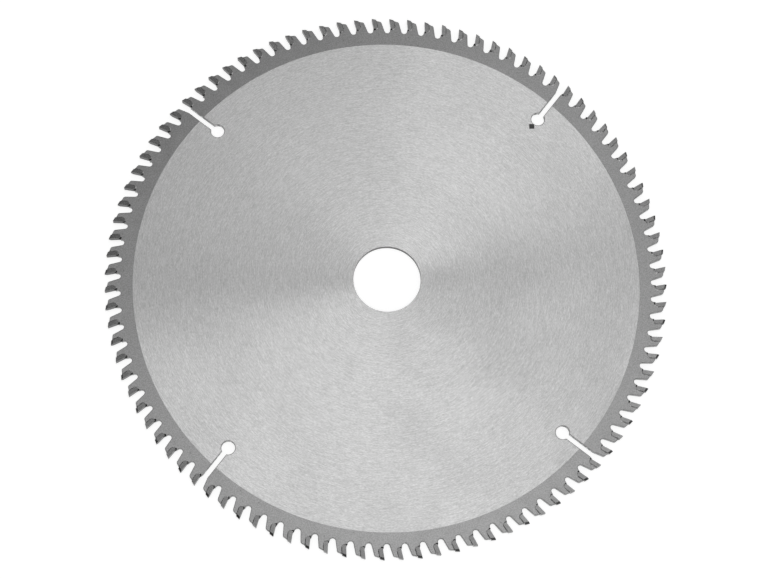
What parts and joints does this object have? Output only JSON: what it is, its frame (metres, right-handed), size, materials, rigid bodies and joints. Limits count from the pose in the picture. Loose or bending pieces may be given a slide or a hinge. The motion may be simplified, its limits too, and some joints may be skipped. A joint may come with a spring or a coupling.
{
  "type": "circular saw blade",
  "caption": "Round saw blade with brazed carbide tips in two alternating grinds, rounded gullets, expansion slots that end in round holes, and a plain round bore.",
  "frame": {"origin": "middle of the bore, at half the plate's thickness", "axes": "+Z along the bore and square to the plate; seen from +Z the teeth point counter-clockwise; +X through the middle of a gullet, half way between two expansion slots"},
  "size_m": [0.2496, 0.2496, 0.0032],
  "materials": {
    "plate_steel": "ground with a round grain, with a darker matte rim",
    "carbide": "ground tungsten carbide, satin grey",
    "braze": "dull silver solder, darkened by the flame"
  },
  "bodies": {
    "root": {"blade_body": "plate_steel", "tip_pair_01": "carbide", "tip_pair_02": "carbide", "tip_pair_03": "carbide", "tip_pair_04": "carbide", "tip_pair_05": "carbide", "tip_pair_06": "carbide", "tip_pair_07": "carbide", "tip_pair_08": "carbide", "tip_pair_09": "carbide", "tip_pair_10": "carbide", "tip_pair_11": "carbide", "tip_pair_12": "carbide", "tip_pair_13": "carbide", "tip_pair_14": "carbide", "tip_pair_15": "carbide", "tip_pair_16": "carbide", "tip_pair_17": "carbide", "tip_pair_18": "carbide", "tip_pair_19": "carbide", "tip_pair_20": "carbide", "tip_pair_21": "carbide", "tip_pair_22": "carbide", "tip_pair_23": "carbide", "tip_pair_24": "carbide", "tip_pair_25": "carbide", "tip_pair_26": "carbide", "tip_pair_27": "carbide", "tip_pair_28": "carbide", "tip_pair_29": "carbide", "tip_pair_30": "carbide", "tip_pair_31": "carbide", "tip_pair_32": "carbide", "tip_pair_33": "carbide", "tip_pair_34": "carbide", "tip_pair_35": "carbide", "tip_pair_36": "carbide", "tip_pair_37": "carbide", "tip_pair_38": "carbide", "tip_pair_39": "carbide", "tip_pair_40": "carbide", "tip_pair_41": "carbide", "tip_pair_42": "carbide", "tip_pair_43": "carbide", "tip_pair_44": "carbide", "tip_pair_45": "carbide", "tip_pair_46": "carbide", "tip_pair_47": "carbide", "tip_pair_48": "carbide"}
  },
  "joints": []
}
